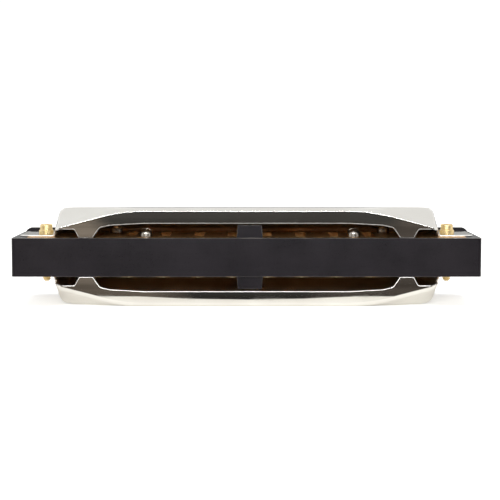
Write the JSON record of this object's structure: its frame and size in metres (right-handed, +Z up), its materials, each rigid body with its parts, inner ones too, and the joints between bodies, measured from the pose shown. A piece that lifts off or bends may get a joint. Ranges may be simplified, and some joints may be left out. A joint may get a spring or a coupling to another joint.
{
  "type": "diatonic harmonica",
  "caption": "Mouth organ with a black comb, brass reed plates, sprung reed tongues and two polished sheet-metal covers open at the rear.",
  "frame": {"origin": "on the surface that the lower cover rests on, below the middle of the comb", "axes": "+X along the comb towards the low notes, +Y towards the mouthpiece, +Z up"},
  "size_m": [0.101, 0.027, 0.0213],
  "materials": {
    "comb_plastic": "satin",
    "plate_brass": "rolled",
    "reed_brass": "ground",
    "cover_steel": "polished",
    "rivet_steel": "bright",
    "screw_steel": "bright",
    "screw_brass": "bright"
  },
  "bodies": {
    "frame": {"comb": "comb_plastic", "upper_reed_plate": "plate_brass", "lower_reed_plate": "plate_brass", "upper_cover": "cover_steel", "lower_cover": "cover_steel", "blow_reed_roots": "reed_brass", "draw_reed_roots": "reed_brass", "blow_reed_rivets": "rivet_steel", "draw_reed_rivets": "rivet_steel", "reed_plate_screws": "screw_steel", "cover_screws": "screw_brass"},
    "blow_reed_01_tongue": {"blow_reed_01": "reed_brass"},
    "blow_reed_02_tongue": {"blow_reed_02": "reed_brass"},
    "blow_reed_03_tongue": {"blow_reed_03": "reed_brass"},
    "blow_reed_04_tongue": {"blow_reed_04": "reed_brass"},
    "blow_reed_05_tongue": {"blow_reed_05": "reed_brass"},
    "blow_reed_06_tongue": {"blow_reed_06": "reed_brass"},
    "blow_reed_07_tongue": {"blow_reed_07": "reed_brass"},
    "blow_reed_08_tongue": {"blow_reed_08": "reed_brass"},
    "blow_reed_09_tongue": {"blow_reed_09": "reed_brass"},
    "blow_reed_10_tongue": {"blow_reed_10": "reed_brass"},
    "draw_reed_01_tongue": {"draw_reed_01": "reed_brass"},
    "draw_reed_02_tongue": {"draw_reed_02": "reed_brass"},
    "draw_reed_03_tongue": {"draw_reed_03": "reed_brass"},
    "draw_reed_04_tongue": {"draw_reed_04": "reed_brass"},
    "draw_reed_05_tongue": {"draw_reed_05": "reed_brass"},
    "draw_reed_06_tongue": {"draw_reed_06": "reed_brass"},
    "draw_reed_07_tongue": {"draw_reed_07": "reed_brass"},
    "draw_reed_08_tongue": {"draw_reed_08": "reed_brass"},
    "draw_reed_09_tongue": {"draw_reed_09": "reed_brass"},
    "draw_reed_10_tongue": {"draw_reed_10": "reed_brass"}
  },
  "joints": [
    {"name": "blow_reed_01_swing", "type": "hinge", "parent": "frame", "child": "blow_reed_01_tongue", "pos_m": [0.03445, 0.00502, 0.0137], "axis": [1, 0, 0], "range_deg": [-3.5, 3.5], "stiffness_Nm_per_rad": 0.015},
    {"name": "blow_reed_02_swing", "type": "hinge", "parent": "frame", "child": "blow_reed_02_tongue", "pos_m": [0.02695, 0.00502, 0.0137], "axis": [1, 0, 0], "range_deg": [-3.5, 3.5], "stiffness_Nm_per_rad": 0.015},
    {"name": "blow_reed_03_swing", "type": "hinge", "parent": "frame", "child": "blow_reed_03_tongue", "pos_m": [0.01945, 0.00502, 0.0137], "axis": [1, 0, 0], "range_deg": [-3.5, 3.5], "stiffness_Nm_per_rad": 0.015},
    {"name": "blow_reed_04_swing", "type": "hinge", "parent": "frame", "child": "blow_reed_04_tongue", "pos_m": [0.01195, 0.00502, 0.0137], "axis": [1, 0, 0], "range_deg": [-3.5, 3.5], "stiffness_Nm_per_rad": 0.015},
    {"name": "blow_reed_05_swing", "type": "hinge", "parent": "frame", "child": "blow_reed_05_tongue", "pos_m": [0.00445, 0.00502, 0.0137], "axis": [1, 0, 0], "range_deg": [-3.5, 3.5], "stiffness_Nm_per_rad": 0.015},
    {"name": "blow_reed_06_swing", "type": "hinge", "parent": "frame", "child": "blow_reed_06_tongue", "pos_m": [-0.00305, 0.00502, 0.0137], "axis": [1, 0, 0], "range_deg": [-3.5, 3.5], "stiffness_Nm_per_rad": 0.015},
    {"name": "blow_reed_07_swing", "type": "hinge", "parent": "frame", "child": "blow_reed_07_tongue", "pos_m": [-0.01055, 0.00502, 0.0137], "axis": [1, 0, 0], "range_deg": [-3.5, 3.5], "stiffness_Nm_per_rad": 0.015},
    {"name": "blow_reed_08_swing", "type": "hinge", "parent": "frame", "child": "blow_reed_08_tongue", "pos_m": [-0.01805, 0.00502, 0.0137], "axis": [1, 0, 0], "range_deg": [-3.5, 3.5], "stiffness_Nm_per_rad": 0.015},
    {"name": "blow_reed_09_swing", "type": "hinge", "parent": "frame", "child": "blow_reed_09_tongue", "pos_m": [-0.02555, 0.00502, 0.0137], "axis": [1, 0, 0], "range_deg": [-3.5, 3.5], "stiffness_Nm_per_rad": 0.015},
    {"name": "blow_reed_10_swing", "type": "hinge", "parent": "frame", "child": "blow_reed_10_tongue", "pos_m": [-0.03305, 0.00502, 0.0137], "axis": [1, 0, 0], "range_deg": [-3.5, 3.5], "stiffness_Nm_per_rad": 0.015},
    {"name": "draw_reed_01_swing", "type": "hinge", "parent": "frame", "child": "draw_reed_01_tongue", "pos_m": [0.03445, -0.00782, 0.0063], "axis": [1, 0, 0], "range_deg": [-3.5, 3.5], "stiffness_Nm_per_rad": 0.015},
    {"name": "draw_reed_02_swing", "type": "hinge", "parent": "frame", "child": "draw_reed_02_tongue", "pos_m": [0.02695, -0.00782, 0.0063], "axis": [1, 0, 0], "range_deg": [-3.5, 3.5], "stiffness_Nm_per_rad": 0.015},
    {"name": "draw_reed_03_swing", "type": "hinge", "parent": "frame", "child": "draw_reed_03_tongue", "pos_m": [0.01945, -0.00782, 0.0063], "axis": [1, 0, 0], "range_deg": [-3.5, 3.5], "stiffness_Nm_per_rad": 0.015},
    {"name": "draw_reed_04_swing", "type": "hinge", "parent": "frame", "child": "draw_reed_04_tongue", "pos_m": [0.01195, -0.00782, 0.0063], "axis": [1, 0, 0], "range_deg": [-3.5, 3.5], "stiffness_Nm_per_rad": 0.015},
    {"name": "draw_reed_05_swing", "type": "hinge", "parent": "frame", "child": "draw_reed_05_tongue", "pos_m": [0.00445, -0.00782, 0.0063], "axis": [1, 0, 0], "range_deg": [-3.5, 3.5], "stiffness_Nm_per_rad": 0.015},
    {"name": "draw_reed_06_swing", "type": "hinge", "parent": "frame", "child": "draw_reed_06_tongue", "pos_m": [-0.00305, -0.00782, 0.0063], "axis": [1, 0, 0], "range_deg": [-3.5, 3.5], "stiffness_Nm_per_rad": 0.015},
    {"name": "draw_reed_07_swing", "type": "hinge", "parent": "frame", "child": "draw_reed_07_tongue", "pos_m": [-0.01055, -0.00782, 0.0063], "axis": [1, 0, 0], "range_deg": [-3.5, 3.5], "stiffness_Nm_per_rad": 0.015},
    {"name": "draw_reed_08_swing", "type": "hinge", "parent": "frame", "child": "draw_reed_08_tongue", "pos_m": [-0.01805, -0.00782, 0.0063], "axis": [1, 0, 0], "range_deg": [-3.5, 3.5], "stiffness_Nm_per_rad": 0.015},
    {"name": "draw_reed_09_swing", "type": "hinge", "parent": "frame", "child": "draw_reed_09_tongue", "pos_m": [-0.02555, -0.00782, 0.0063], "axis": [1, 0, 0], "range_deg": [-3.5, 3.5], "stiffness_Nm_per_rad": 0.015},
    {"name": "draw_reed_10_swing", "type": "hinge", "parent": "frame", "child": "draw_reed_10_tongue", "pos_m": [-0.03305, -0.00782, 0.0063], "axis": [1, 0, 0], "range_deg": [-3.5, 3.5], "stiffness_Nm_per_rad": 0.015}
  ]
}
